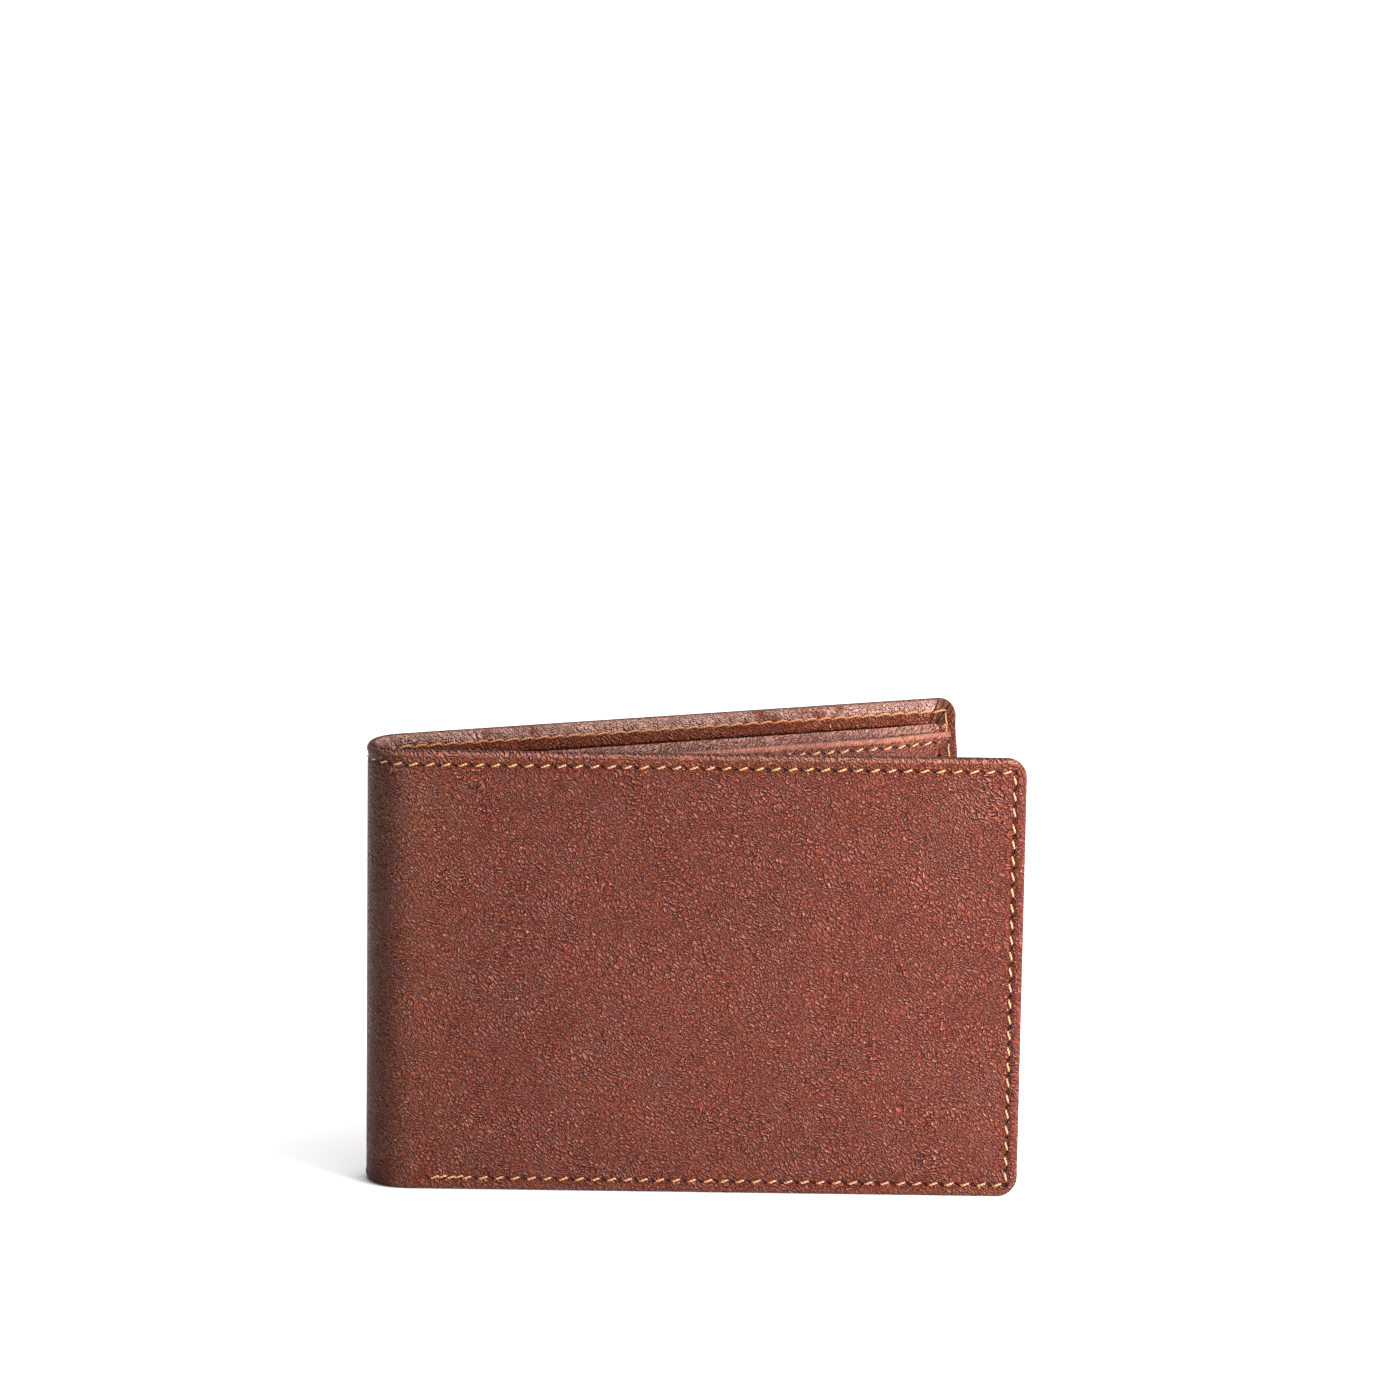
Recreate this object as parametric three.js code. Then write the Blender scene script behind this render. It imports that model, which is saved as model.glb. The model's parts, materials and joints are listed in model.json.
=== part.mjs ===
// Bifold wallet in chestnut leather, standing half open on its long lower edge.
//
// Each half is drawn flat, as a leather worker lays it out: x runs from the fold to the fore edge,
// z runs up, and y is the depth from the outer face of the cover towards the inside.
// The fold is a row of narrow strips. Every strip turns about a vertical line on the outer face,
// so the leather keeps its length there while the inner layers close up or spread.
import * as THREE from 'three';

// Driving dimensions, in millimetres and degrees
const CLOSED_LENGTH = 114; // outermost line of the fold to the fore edge of the front cover
const HEIGHT = 78.2;
const FOLD_RADIUS = 8; // outer face of the fold, at rest
const REST_OPENING = 21.9; // angle between the two covers, at rest
const STRIP_COUNT = 3; // narrow strips of the fold, with one more hinge line than strips
const CORNER_RADIUS = 3.5; // fore corners of the covers

// Thicknesses and clearances
const COVER_THICKNESS = 1.2;
const TURNED_THICKNESS = 0.7; // leather pared thin and turned over an edge
const LINING_THICKNESS = 0.25;
const DIVIDER_THICKNESS = 0.4;
const POCKET_THICKNESS = 0.5; // leather of the card pockets
const LAYER_GAP = 0.12; // between layers that lie on each other
const NOTE_GAP = 0.4; // each of the two banknote compartments, empty
const JOINT_GAP = 0.15; // each side of a hinge line
const EDGE_GAP = 0.3; // between pieces that meet edge to edge

// Turned edges
const TOP_HEM_HEIGHT = 4.5;
const SIDE_HEM_WIDTH = 4;
const WRAP_THICKNESS = 1; // leather that goes round the fore and lower edges

// Card panel
const PANEL_SETBACK = 3; // panel's edge, from where the fold starts to bend
const PANEL_TOP = HEIGHT - 6;
const SLOT_STEP = 9; // from one card slot's edge down to the next
const SLOT_STRIP_HEIGHT = 14;
const CARD_HEIGHT = 54;
const CARD_SHOWING = 10; // how far a card stands out of its slot

// Sewing
const THREAD_WIDTH = 0.5;
const THREAD_THICKNESS = 0.25;
const THREAD_LIFT = 0.05;
const TOP_SEAM_INSET = 2.4;
const SIDE_SEAM_INSET = 2.1;
const LOWER_SEAM_INSET = 2.2;
const PANEL_SEAM_INSET = 1.8;

// Worked out from the dimensions above
const HINGE_COUNT = STRIP_COUNT + 1;
const HINGE_TURN = THREE.MathUtils.degToRad((180 - REST_OPENING) / HINGE_COUNT);
const CLOSED_HALF_TURN = Math.PI / (2 * HINGE_COUNT);
const STRIP_WIDTH = 2 * FOLD_RADIUS * Math.tan(HINGE_TURN / 2);
const BEND_START = STRIP_WIDTH / 2; // from the first hinge line to where the cover is flat
const HALF_LENGTH = CLOSED_LENGTH - FOLD_RADIUS + BEND_START;
const PANEL_START = BEND_START + PANEL_SETBACK;
const INNER_END = HALF_LENGTH - WRAP_THICKNESS - EDGE_GAP;
const INNER_BOTTOM = WRAP_THICKNESS + EDGE_GAP;

// Depth of each layer's outer side, from the outer face of the cover
const LINING_DEPTH = COVER_THICKNESS + LAYER_GAP;
const TOP_HEM_DEPTH = COVER_THICKNESS + LAYER_GAP;
const DIVIDER_DEPTH = TOP_HEM_DEPTH + TURNED_THICKNESS + NOTE_GAP;
const BACKING_DEPTH = DIVIDER_DEPTH + DIVIDER_THICKNESS + NOTE_GAP;
const PANEL_DEPTH = BACKING_DEPTH + LINING_THICKNESS + LAYER_GAP;
const LEVEL_STEP = POCKET_THICKNESS + LAYER_GAP;
const POCKET_LEVEL = 3; // the card pocket lies over the top strip and two card slots
const SIDE_HEM_DEPTH = PANEL_DEPTH + (POCKET_LEVEL + 1) * LEVEL_STEP;

function material(color, roughness) {
  return new THREE.MeshStandardMaterial({ color, roughness, metalness: 0 });
}

const chestnut = () => material(0x84493d, 0.55);
const turnedLeather = () => material(0x9c614f, 0.5);
const pocketLeather = () => material(0x7a4336, 0.55);
const dividerCloth = () => material(0x895e57, 0.8);
const liningCloth = () => material(0x6e4f45, 0.85);
const waxedThread = () => material(0xc99a72, 0.6);

// A flat sheet: an outline in x and z, given its thickness in depth
function sheet(outline, depth, thickness) {
  const geometry = new THREE.ExtrudeGeometry(outline, {
    depth: thickness,
    bevelEnabled: false,
    curveSegments: 6,
  });
  geometry.rotateX(Math.PI / 2);
  geometry.translate(0, depth + thickness, 0);
  return geometry;
}

// The side is 1 for the front half and -1 for the back half, which is its mirror image
function rectangle(side, start, end, bottom, top) {
  const outline = new THREE.Shape();
  outline.moveTo(side * start, bottom);
  outline.lineTo(side * end, bottom);
  outline.lineTo(side * end, top);
  outline.lineTo(side * start, top);
  outline.closePath();
  return outline;
}

function arcCorner(outline, side, centreX, centreZ, fromAngle) {
  const from = side > 0 ? fromAngle : Math.PI - fromAngle;
  const to = from + side * Math.PI / 2;
  outline.absarc(side * centreX, centreZ, CORNER_RADIUS, from, to, side < 0);
}

// Rounded at the upper fore corner, and at the lower one where asked
function roundedRectangle(side, start, end, bottom, top, lowerRounded) {
  const outline = new THREE.Shape();
  outline.moveTo(side * start, bottom);
  if (lowerRounded) {
    arcCorner(outline, side, end - CORNER_RADIUS, bottom + CORNER_RADIUS, -Math.PI / 2);
  } else {
    outline.lineTo(side * end, bottom);
  }
  arcCorner(outline, side, end - CORNER_RADIUS, top - CORNER_RADIUS, 0);
  outline.lineTo(side * start, top);
  outline.closePath();
  return outline;
}

// A ribbon of thread along straight runs that meet at right angles, given by its centre line
function ribbon(side, points) {
  const half = THREAD_WIDTH / 2;
  const left = [];
  const right = [];
  for (let i = 0; i < points.length; i += 1) {
    const before = points[Math.max(i - 1, 0)];
    const after = points[Math.min(i + 1, points.length - 1)];
    const incoming = new THREE.Vector2(points[i][0] - before[0], points[i][1] - before[1]).normalize();
    const outgoing = new THREE.Vector2(after[0] - points[i][0], after[1] - points[i][1]).normalize();
    const first = i === 0 ? outgoing : incoming;
    const second = i === points.length - 1 ? incoming : outgoing;
    const turned = first.distanceTo(second) > 0.5;
    const normalX = turned ? -first.y - second.y : -first.y;
    const normalZ = turned ? first.x + second.x : first.x;
    left.push([points[i][0] + half * normalX, points[i][1] + half * normalZ]);
    right.push([points[i][0] - half * normalX, points[i][1] - half * normalZ]);
  }
  const outline = new THREE.Shape();
  [...left, ...right.reverse()].forEach(([x, z], i) => {
    if (i === 0) outline.moveTo(side * x, z);
    else outline.lineTo(side * x, z);
  });
  outline.closePath();
  return outline;
}

// A turned edge: leather that goes round the edge and comes back over the inner layers
function wrappedProfile(alongEdge) {
  const near = COVER_THICKNESS + LAYER_GAP;
  const far = SIDE_HEM_DEPTH + TURNED_THICKNESS;
  const profile = new THREE.Shape();
  profile.moveTo(0, near);
  profile.lineTo(WRAP_THICKNESS, near);
  profile.lineTo(WRAP_THICKNESS, SIDE_HEM_DEPTH);
  profile.lineTo(SIDE_HEM_WIDTH, SIDE_HEM_DEPTH);
  profile.lineTo(SIDE_HEM_WIDTH, far);
  profile.lineTo(0, far);
  profile.closePath();
  return new THREE.ExtrudeGeometry(profile, { depth: alongEdge, bevelEnabled: false });
}

function foreHem(side) {
  const geometry = wrappedProfile(PANEL_TOP - CORNER_RADIUS);
  // The profile's first axis points from the fore edge back towards the fold
  geometry.applyMatrix4(new THREE.Matrix4().makeBasis(
    new THREE.Vector3(-side, 0, 0),
    new THREE.Vector3(0, 1, 0),
    new THREE.Vector3(0, 0, 1),
  ));
  if (side > 0) flipFaces(geometry);
  geometry.translate(side * HALF_LENGTH, 0, CORNER_RADIUS);
  return geometry;
}

function lowerHem(side) {
  const length = HALF_LENGTH - SIDE_HEM_WIDTH - EDGE_GAP - PANEL_START;
  const geometry = wrappedProfile(length);
  geometry.applyMatrix4(new THREE.Matrix4().makeBasis(
    new THREE.Vector3(0, 0, 1),
    new THREE.Vector3(0, 1, 0),
    new THREE.Vector3(side, 0, 0),
  ));
  if (side > 0) flipFaces(geometry);
  geometry.translate(side * PANEL_START, 0, 0);
  return geometry;
}

// A mirrored solid needs its triangles turned over
function flipFaces(geometry) {
  const position = geometry.attributes.position;
  const corner = new THREE.Vector3();
  const other = new THREE.Vector3();
  for (let i = 0; i < position.count; i += 3) {
    corner.fromBufferAttribute(position, i + 1);
    other.fromBufferAttribute(position, i + 2);
    position.setXYZ(i + 1, other.x, other.y, other.z);
    position.setXYZ(i + 2, corner.x, corner.y, corner.z);
  }
}

// A named mesh of one part
function named(name, geometry, meshMaterial) {
  const mesh = new THREE.Mesh(geometry, meshMaterial);
  mesh.name = name;
  return mesh;
}

// The layers start just past the mitre of the first hinge line
function clearStart(deepest) {
  return JOINT_GAP + deepest * Math.tan(CLOSED_HALF_TURN);
}

function coverShell(name, side) {
  const group = new THREE.Group();
  const cover = roundedRectangle(side, clearStart(COVER_THICKNESS), HALF_LENGTH, 0, HEIGHT, true);
  group.add(named(`${name}_cover`, sheet(cover, 0, COVER_THICKNESS), chestnut()));

  const hemStart = clearStart(TOP_HEM_DEPTH + TURNED_THICKNESS);
  const hemBottom = HEIGHT - TOP_HEM_HEIGHT;
  const topHem = roundedRectangle(side, hemStart, HALF_LENGTH, hemBottom, HEIGHT, false);
  group.add(named(`${name}_top_hem`, sheet(topHem, TOP_HEM_DEPTH, TURNED_THICKNESS), turnedLeather()));
  group.add(named(`${name}_fore_hem`, foreHem(side), turnedLeather()));
  group.add(named(`${name}_lower_hem`, lowerHem(side), turnedLeather()));

  const liningStart = clearStart(LINING_DEPTH + LINING_THICKNESS);
  const lining = rectangle(side, liningStart, INNER_END, INNER_BOTTOM, hemBottom - EDGE_GAP);
  group.add(named(`${name}_cover_lining`, sheet(lining, LINING_DEPTH, LINING_THICKNESS), liningCloth()));
  return group;
}

function noteDivider(name, side) {
  const start = clearStart(DIVIDER_DEPTH + DIVIDER_THICKNESS);
  const divider = rectangle(side, start, INNER_END, INNER_BOTTOM, HEIGHT - TOP_HEM_HEIGHT);
  return named(`${name}_note_divider`, sheet(divider, DIVIDER_DEPTH, DIVIDER_THICKNESS), dividerCloth());
}

// Card slots overlap like roof tiles. Each leather strip is sewn to a cloth liner of its own level,
// which carries on down to where the cards stand.
function cardPanel(name, side) {
  const group = new THREE.Group();
  const place = (part, level, bottom, top, meshMaterial) => {
    const outline = rectangle(side, PANEL_START, INNER_END, bottom, top);
    const depth = PANEL_DEPTH + level * LEVEL_STEP;
    group.add(named(`${name}_${part}`, sheet(outline, depth, POCKET_THICKNESS), meshMaterial));
  };
  const backing = rectangle(side, PANEL_START, INNER_END, INNER_BOTTOM, PANEL_TOP);
  group.add(named(`${name}_panel_backing`, sheet(backing, BACKING_DEPTH, LINING_THICKNESS), liningCloth()));

  const stripBottom = PANEL_TOP - SLOT_STRIP_HEIGHT;
  place('panel_top_strip', 0, stripBottom, PANEL_TOP, pocketLeather());
  place('panel_liner', 0, INNER_BOTTOM, stripBottom - EDGE_GAP, liningCloth());
  for (let slot = 1; slot < POCKET_LEVEL; slot += 1) {
    const edge = PANEL_TOP - slot * SLOT_STEP;
    const lower = edge - SLOT_STRIP_HEIGHT;
    const cardFoot = edge + CARD_SHOWING - CARD_HEIGHT;
    place(`card_slot_${slot}`, slot, lower, edge, pocketLeather());
    place(`card_slot_${slot}_liner`, slot, cardFoot, lower - EDGE_GAP, liningCloth());
  }
  place('card_pocket', POCKET_LEVEL, INNER_BOTTOM, PANEL_TOP - POCKET_LEVEL * SLOT_STEP, pocketLeather());
  return group;
}

function halfThreads(name, side) {
  const group = new THREE.Group();
  const topLine = HEIGHT - TOP_SEAM_INSET;
  const foreLine = HALF_LENGTH - SIDE_SEAM_INSET;
  const panelLine = PANEL_TOP - PANEL_SEAM_INSET;
  const sewn = (part, points, depth) => {
    group.add(named(`${name}_${part}`, sheet(ribbon(side, points), depth, THREAD_THICKNESS), waxedThread()));
  };
  sewn('outer_thread', [
    [JOINT_GAP, topLine],
    [foreLine, topLine],
    [foreLine, LOWER_SEAM_INSET],
    [PANEL_START, LOWER_SEAM_INSET],
  ], -THREAD_LIFT - THREAD_THICKNESS);
  sewn('top_inner_thread', [
    [clearStart(TOP_HEM_DEPTH + TURNED_THICKNESS + THREAD_LIFT + THREAD_THICKNESS), topLine],
    [foreLine, topLine],
  ], TOP_HEM_DEPTH + TURNED_THICKNESS + THREAD_LIFT);
  sewn('lip_thread', [
    [PANEL_START, panelLine],
    [HALF_LENGTH - SIDE_HEM_WIDTH, panelLine],
  ], PANEL_DEPTH + POCKET_THICKNESS + THREAD_LIFT);
  sewn('pocket_thread', [
    [PANEL_START + PANEL_SEAM_INSET, SIDE_HEM_WIDTH + EDGE_GAP],
    [PANEL_START + PANEL_SEAM_INSET, PANEL_TOP - POCKET_LEVEL * SLOT_STEP],
  ], SIDE_HEM_DEPTH);
  return group;
}

// One strip of the fold runs from its hinge line at x = 0 to the next one at x = -STRIP_WIDTH,
// and both its sides are mitred so that the strips clear each other when the wallet shuts
function stripLayer(depth, thickness, bottom, top) {
  const slope = Math.tan(CLOSED_HALF_TURN);
  const shape = new THREE.Shape();
  const near = JOINT_GAP + Math.max(depth, 0) * slope;
  const far = JOINT_GAP + Math.max(depth + thickness, 0) * slope;
  shape.moveTo(-near, depth);
  shape.lineTo(-far, depth + thickness);
  shape.lineTo(far - STRIP_WIDTH, depth + thickness);
  shape.lineTo(near - STRIP_WIDTH, depth);
  shape.closePath();
  const geometry = new THREE.ExtrudeGeometry(shape, { depth: top - bottom, bevelEnabled: false });
  geometry.translate(0, 0, bottom);
  return geometry;
}

function foldStrip(index) {
  const group = new THREE.Group();
  const hemBottom = HEIGHT - TOP_HEM_HEIGHT;
  const liningTop = hemBottom - EDGE_GAP;
  const topLine = HEIGHT - TOP_SEAM_INSET;
  const add = (part, geometry, meshMaterial) => {
    group.add(named(`fold_${part}_${index}`, geometry, meshMaterial));
  };
  add('leather', stripLayer(0, COVER_THICKNESS, 0, HEIGHT), chestnut());
  add('top_hem', stripLayer(TOP_HEM_DEPTH, TURNED_THICKNESS, hemBottom, HEIGHT), turnedLeather());
  add('lining', stripLayer(LINING_DEPTH, LINING_THICKNESS, INNER_BOTTOM, liningTop), liningCloth());
  add('divider', stripLayer(DIVIDER_DEPTH, DIVIDER_THICKNESS, INNER_BOTTOM, hemBottom), dividerCloth());
  add('thread', stripLayer(
    -THREAD_LIFT - THREAD_THICKNESS,
    THREAD_THICKNESS,
    topLine - THREAD_WIDTH / 2,
    topLine + THREAD_WIDTH / 2,
  ), waxedThread());
  return group;
}

function half(name, side) {
  const group = new THREE.Group();
  group.add(coverShell(name, side), noteDivider(name, side), cardPanel(name, side), halfThreads(name, side));
  return group;
}

// The front half stays square to the frame, and the chain of strips leads round to the back half
function wallet() {
  const front = half('front', 1);
  let parent = front;
  for (let index = 1; index <= STRIP_COUNT; index += 1) {
    const strip = foldStrip(index);
    strip.position.x = index === 1 ? 0 : -STRIP_WIDTH;
    strip.rotation.z = -HINGE_TURN;
    parent.add(strip);
    parent = strip;
  }
  const back = half('back', -1);
  back.position.x = -STRIP_WIDTH;
  back.rotation.z = -HINGE_TURN;
  parent.add(back);
  return front;
}

// The origin is the middle of the footprint, on the surface that the wallet stands on
function centred(model) {
  const root = new THREE.Group();
  root.add(model);
  root.updateMatrixWorld(true);
  const box = new THREE.Box3().setFromObject(root, true);
  const middle = box.getCenter(new THREE.Vector3());
  model.position.set(-middle.x, -middle.y, -box.min.z);
  root.updateMatrixWorld(true);
  return root;
}

export default centred(wallet());
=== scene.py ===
import json
import math

import bpy
import numpy as np
from mathutils import Matrix, Vector


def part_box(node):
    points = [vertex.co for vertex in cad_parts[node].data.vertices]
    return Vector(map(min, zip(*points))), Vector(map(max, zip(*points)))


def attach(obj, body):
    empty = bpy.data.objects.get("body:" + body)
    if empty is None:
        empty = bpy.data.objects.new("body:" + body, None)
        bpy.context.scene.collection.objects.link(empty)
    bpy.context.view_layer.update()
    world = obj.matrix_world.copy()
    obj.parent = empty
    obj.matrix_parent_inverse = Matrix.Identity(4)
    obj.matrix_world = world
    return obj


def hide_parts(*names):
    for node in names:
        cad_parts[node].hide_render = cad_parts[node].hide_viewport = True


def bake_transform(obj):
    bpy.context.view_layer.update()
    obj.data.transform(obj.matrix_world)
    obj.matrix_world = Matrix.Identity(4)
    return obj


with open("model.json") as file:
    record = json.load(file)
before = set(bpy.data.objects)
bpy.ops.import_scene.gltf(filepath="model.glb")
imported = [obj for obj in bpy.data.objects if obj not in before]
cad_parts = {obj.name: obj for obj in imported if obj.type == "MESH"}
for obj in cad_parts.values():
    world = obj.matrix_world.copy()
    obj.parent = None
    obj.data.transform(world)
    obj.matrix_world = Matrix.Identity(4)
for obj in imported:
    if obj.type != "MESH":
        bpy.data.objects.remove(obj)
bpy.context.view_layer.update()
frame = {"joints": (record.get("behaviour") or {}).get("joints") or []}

# Lengths in this script are in millimetres until a mesh is made.
MM = 0.001

# -------------------- the frame's own sizes


def node_box(name):
    low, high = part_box(name)
    return np.array(low) / MM, np.array(high) / MM


COVER_LOW, COVER_HIGH = node_box("front_cover")
FACE_Y = COVER_LOW[1]
HEIGHT = COVER_HIGH[2]
FORE_X = COVER_HIGH[0]
HINGES = [np.array(j["pos_m"][:2]) / MM for j in frame["joints"]]
STEP = HINGES[1] - HINGES[0]
STRIP = float(np.hypot(*STEP))
TURN = math.pi - math.atan2(STEP[1], STEP[0])
RADIUS = STRIP / (2 * math.tan(TURN / 2))
BEND_X = HINGES[0][0] + STRIP / 2
LENGTH = FORE_X - BEND_X
ZONE = TURN * RADIUS
FOLD = len(HINGES) * ZONE


def depths(node):
    """A front node's outer and inner depth, from the outer face of the cover."""
    low, high = node_box(node)
    return low[1] - FACE_Y, high[1] - FACE_Y


def place(u, depth, z):
    """The leather laid flat runs from the front fore edge through the fold (u from 0 to FOLD) to the
    back fore edge. This gives the rest position of points at u, a depth inwards and a height."""
    u, depth, z = np.broadcast_arrays(*(np.asarray(a, float) for a in (u, depth, z)))
    angle = np.clip(u, 0, FOLD) / RADIUS
    straight = np.where(u < 0, u, np.where(u > FOLD, u - FOLD, 0))
    x = BEND_X - (RADIUS - depth) * np.sin(angle) - straight * np.cos(angle)
    y = FACE_Y + RADIUS - (RADIUS - depth) * np.cos(angle) + straight * np.sin(angle)
    return np.stack([x, y, z], -1)


def half_u(side, x):
    """Flat position of a point x from the start of the bend, on the front (1) or back (-1) half."""
    return -x if side > 0 else FOLD + x


def smooth(t):
    t = np.clip(t, 0, 1)
    return t * t * (3 - 2 * t)


# -------------------- camera, lights and floor

CAMERA_ELEVATION = math.radians(11.39)
CAMERA_ROLL = math.radians(0.8)
CAMERA_DISTANCE = 1011
CAMERA_TARGET = np.array([49.5, 0, 87.8])  # from the bend's start and the front face
CAMERA_LENS = 151.5


def make_camera():
    forward = Vector((0, math.cos(CAMERA_ELEVATION), -math.sin(CAMERA_ELEVATION)))
    up = Vector((0, math.sin(CAMERA_ELEVATION), math.cos(CAMERA_ELEVATION)))
    right = Vector((1, 0, 0))
    turned_right = right * math.cos(CAMERA_ROLL) + up * math.sin(CAMERA_ROLL)
    turned_up = up * math.cos(CAMERA_ROLL) - right * math.sin(CAMERA_ROLL)
    target = Vector(CAMERA_TARGET + np.array([BEND_X, FACE_Y, 0])) * MM
    data = bpy.data.cameras.new("camera")
    data.sensor_width = 36
    data.lens = CAMERA_LENS
    data.clip_start = 0.05
    data.clip_end = 60
    camera = bpy.data.objects.new("camera", data)
    bpy.context.scene.collection.objects.link(camera)
    basis = Matrix((turned_right, turned_up, -forward)).transposed().to_4x4()
    camera.matrix_world = Matrix.Translation(target - forward * CAMERA_DISTANCE * MM) @ basis
    bpy.context.scene.camera = camera


def add_light(kind, name, direction, energy, color=(1, 1, 1)):
    data = bpy.data.lights.new(name, kind)
    data.energy = energy
    data.color = color
    light = bpy.data.objects.new(name, data)
    bpy.context.scene.collection.objects.link(light)
    light.rotation_mode = "QUATERNION"
    light.rotation_quaternion = Vector(direction).to_track_quat("-Z", "Y")
    return light


def add_soft_box(name, direction, energy, size, location):
    light = add_light("AREA", name, direction, energy)
    light.data.shape = "RECTANGLE"
    light.data.size, light.data.size_y = size
    light.location = location


def matte(name, grey, roughness):
    material = bpy.data.materials.new(name)
    material.use_nodes = True
    shader = material.node_tree.nodes["Principled BSDF"]
    shader.inputs["Base Color"].default_value = (grey, grey, grey, 1)
    shader.inputs["Roughness"].default_value = roughness
    shader.inputs["Specular IOR Level"].default_value = 0.0
    return material


def make_world():
    """A white studio whose walls light the wallet less from the left than from the right."""
    world = bpy.data.worlds.new("studio")
    world.use_nodes = True
    tree = world.node_tree
    lamp = tree.nodes["Background"]
    coordinates = tree.nodes.new("ShaderNodeTexCoord")
    toward = tree.nodes.new("ShaderNodeVectorMath")
    toward.operation = "DOT_PRODUCT"
    toward.inputs[1].default_value = Vector((0.80, -0.10, 0.59)).normalized()
    tree.links.new(coordinates.outputs["Generated"], toward.inputs[0])
    spread = tree.nodes.new("ShaderNodeMapRange")
    for socket, value in (("From Min", -0.45), ("From Max", 0.90), ("To Min", 0.02), ("To Max", 0.95)):
        spread.inputs[socket].default_value = value
    tree.links.new(toward.outputs["Value"], spread.inputs["Value"])
    tree.links.new(spread.outputs[0], lamp.inputs["Strength"])
    lamp.inputs["Color"].default_value = (1, 1, 1, 1)
    white = tree.nodes.new("ShaderNodeBackground")
    white.inputs["Color"].default_value = (1, 1, 1, 1)
    path = tree.nodes.new("ShaderNodeLightPath")
    pick = tree.nodes.new("ShaderNodeMixShader")
    tree.links.new(path.outputs["Is Camera Ray"], pick.inputs[0])
    tree.links.new(lamp.outputs[0], pick.inputs[1])
    tree.links.new(white.outputs[0], pick.inputs[2])
    tree.links.new(pick.outputs[0], tree.nodes["World Output"].inputs["Surface"])
    bpy.context.scene.world = world


def make_stage():
    scene = bpy.context.scene
    scene.view_settings.view_transform = "Standard"
    scene.view_settings.look = "None"
    make_world()
    key = add_light("SUN", "key", (-0.74, 0.28, -0.61), 2.7, (1.0, 0.985, 0.96))
    key.data.angle = math.radians(42)
    rim = add_light("SUN", "rim", (-0.10, -0.60, -0.78), 1.25)
    rim.data.angle = math.radians(50)
    add_soft_box("top", (-0.06, -0.02, -1), 0.95, (0.36, 0.20), (0.03, 0.01, 0.55))
    add_soft_box("side", (-0.74, 0.66, -0.12), 1.45, (0.16, 0.12), (0.21, -0.17, 0.09))
    bpy.ops.mesh.primitive_plane_add(size=40)
    floor = bpy.context.object
    floor.name = "floor"
    floor.data.materials.append(matte("paper", 0.96, 0.9))
    # A black card on the left, which is seen only in reflections, keeps that side dark
    bpy.ops.mesh.primitive_plane_add(size=0.7, location=(-0.30, 0, 0.34), rotation=(0, math.pi / 2, 0))
    card = bpy.context.object
    card.name = "black_card"
    card.visible_camera = False
    card.visible_diffuse = False
    card.visible_shadow = False
    card.data.materials.append(matte("black_card", 0.01, 1.0))


make_camera()
make_stage()

# -------------------- material building blocks


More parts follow.
